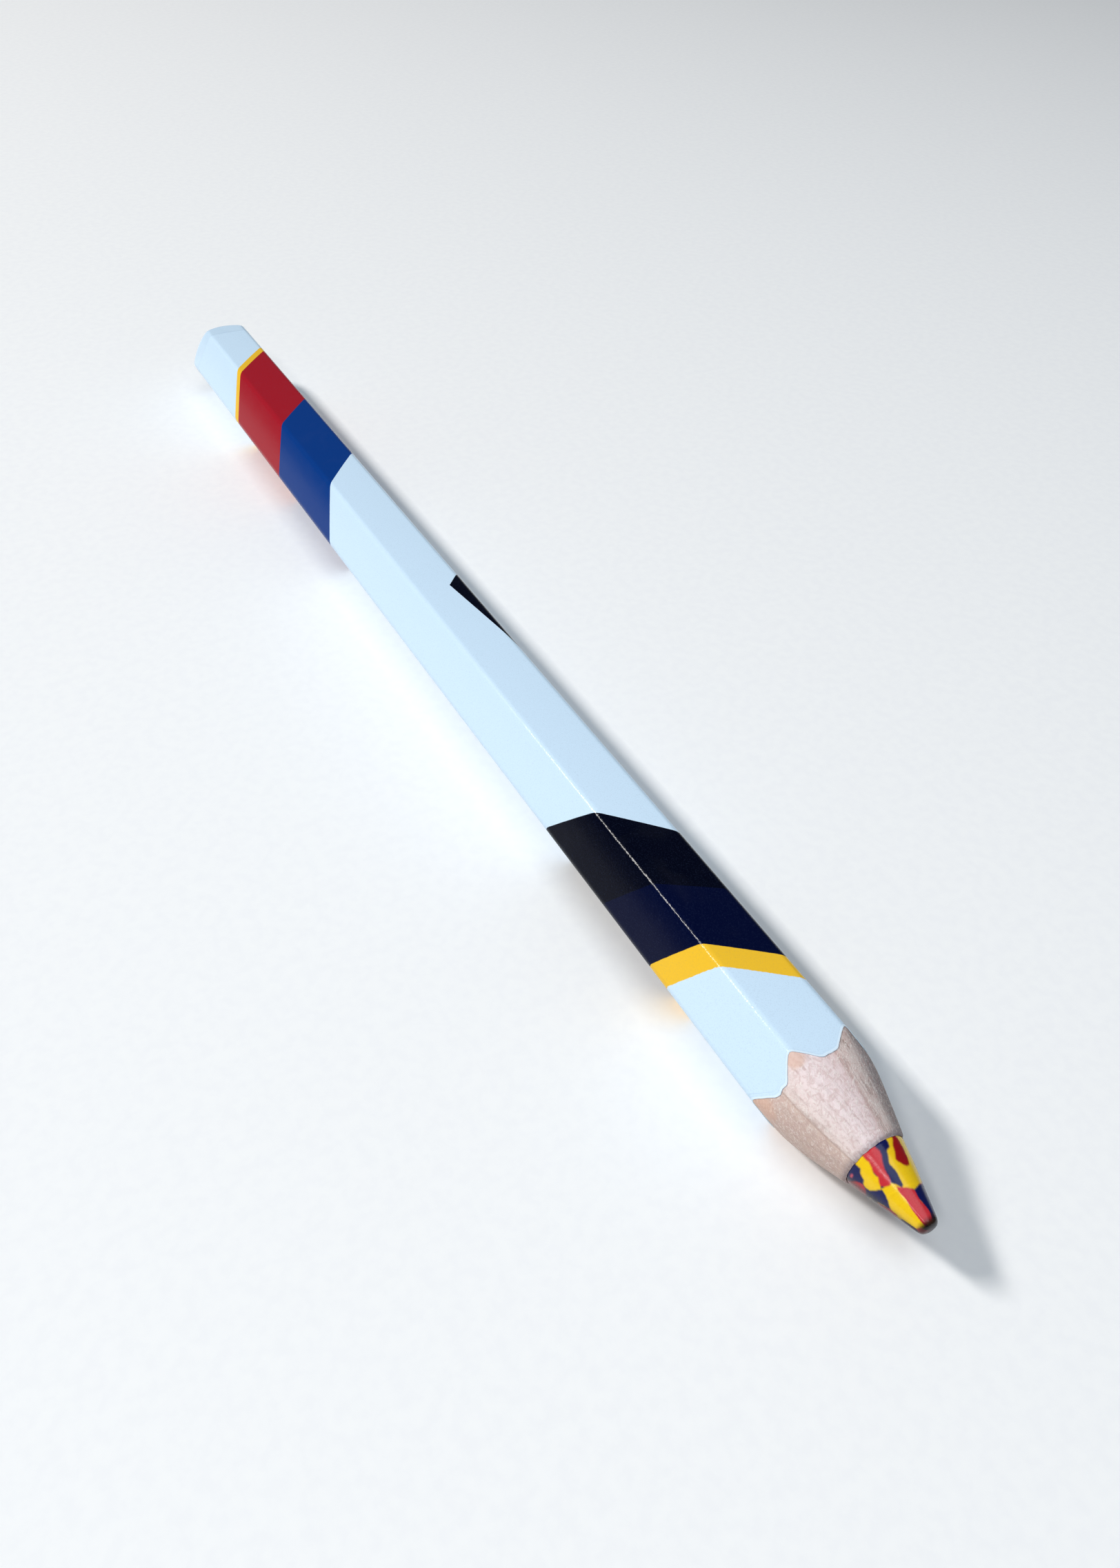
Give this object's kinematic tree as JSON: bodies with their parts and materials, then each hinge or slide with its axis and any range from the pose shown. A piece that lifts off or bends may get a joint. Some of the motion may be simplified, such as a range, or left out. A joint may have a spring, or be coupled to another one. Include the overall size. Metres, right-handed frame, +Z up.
{
  "type": "jumbo hexagonal colouring pencil, whole and sharpened",
  "caption": "Thick hexagonal wooden colouring pencil with a marbled multicolour core, a glossy banded film and a rounded dipped end.",
  "frame": {"origin": "under the pencil's middle, on the surface that its lowest flat rests on", "axes": "+X along the pencil toward its point, +Z up, square to the flats at the top and the bottom"},
  "size_m": [0.17, 0.0112, 0.01],
  "materials": {
    "core": "waxy pigment, marbled yellow, red and navy",
    "wood": "bare sharpened softwood",
    "film": "glossy printed film with slanted colour bands",
    "dip": "glossy white dipped lacquer"
  },
  "bodies": {
    "root": {"core": "core", "upper_slat": "wood", "lower_slat": "wood", "barrel_film": "film", "end_dip": "dip"}
  },
  "joints": []
}
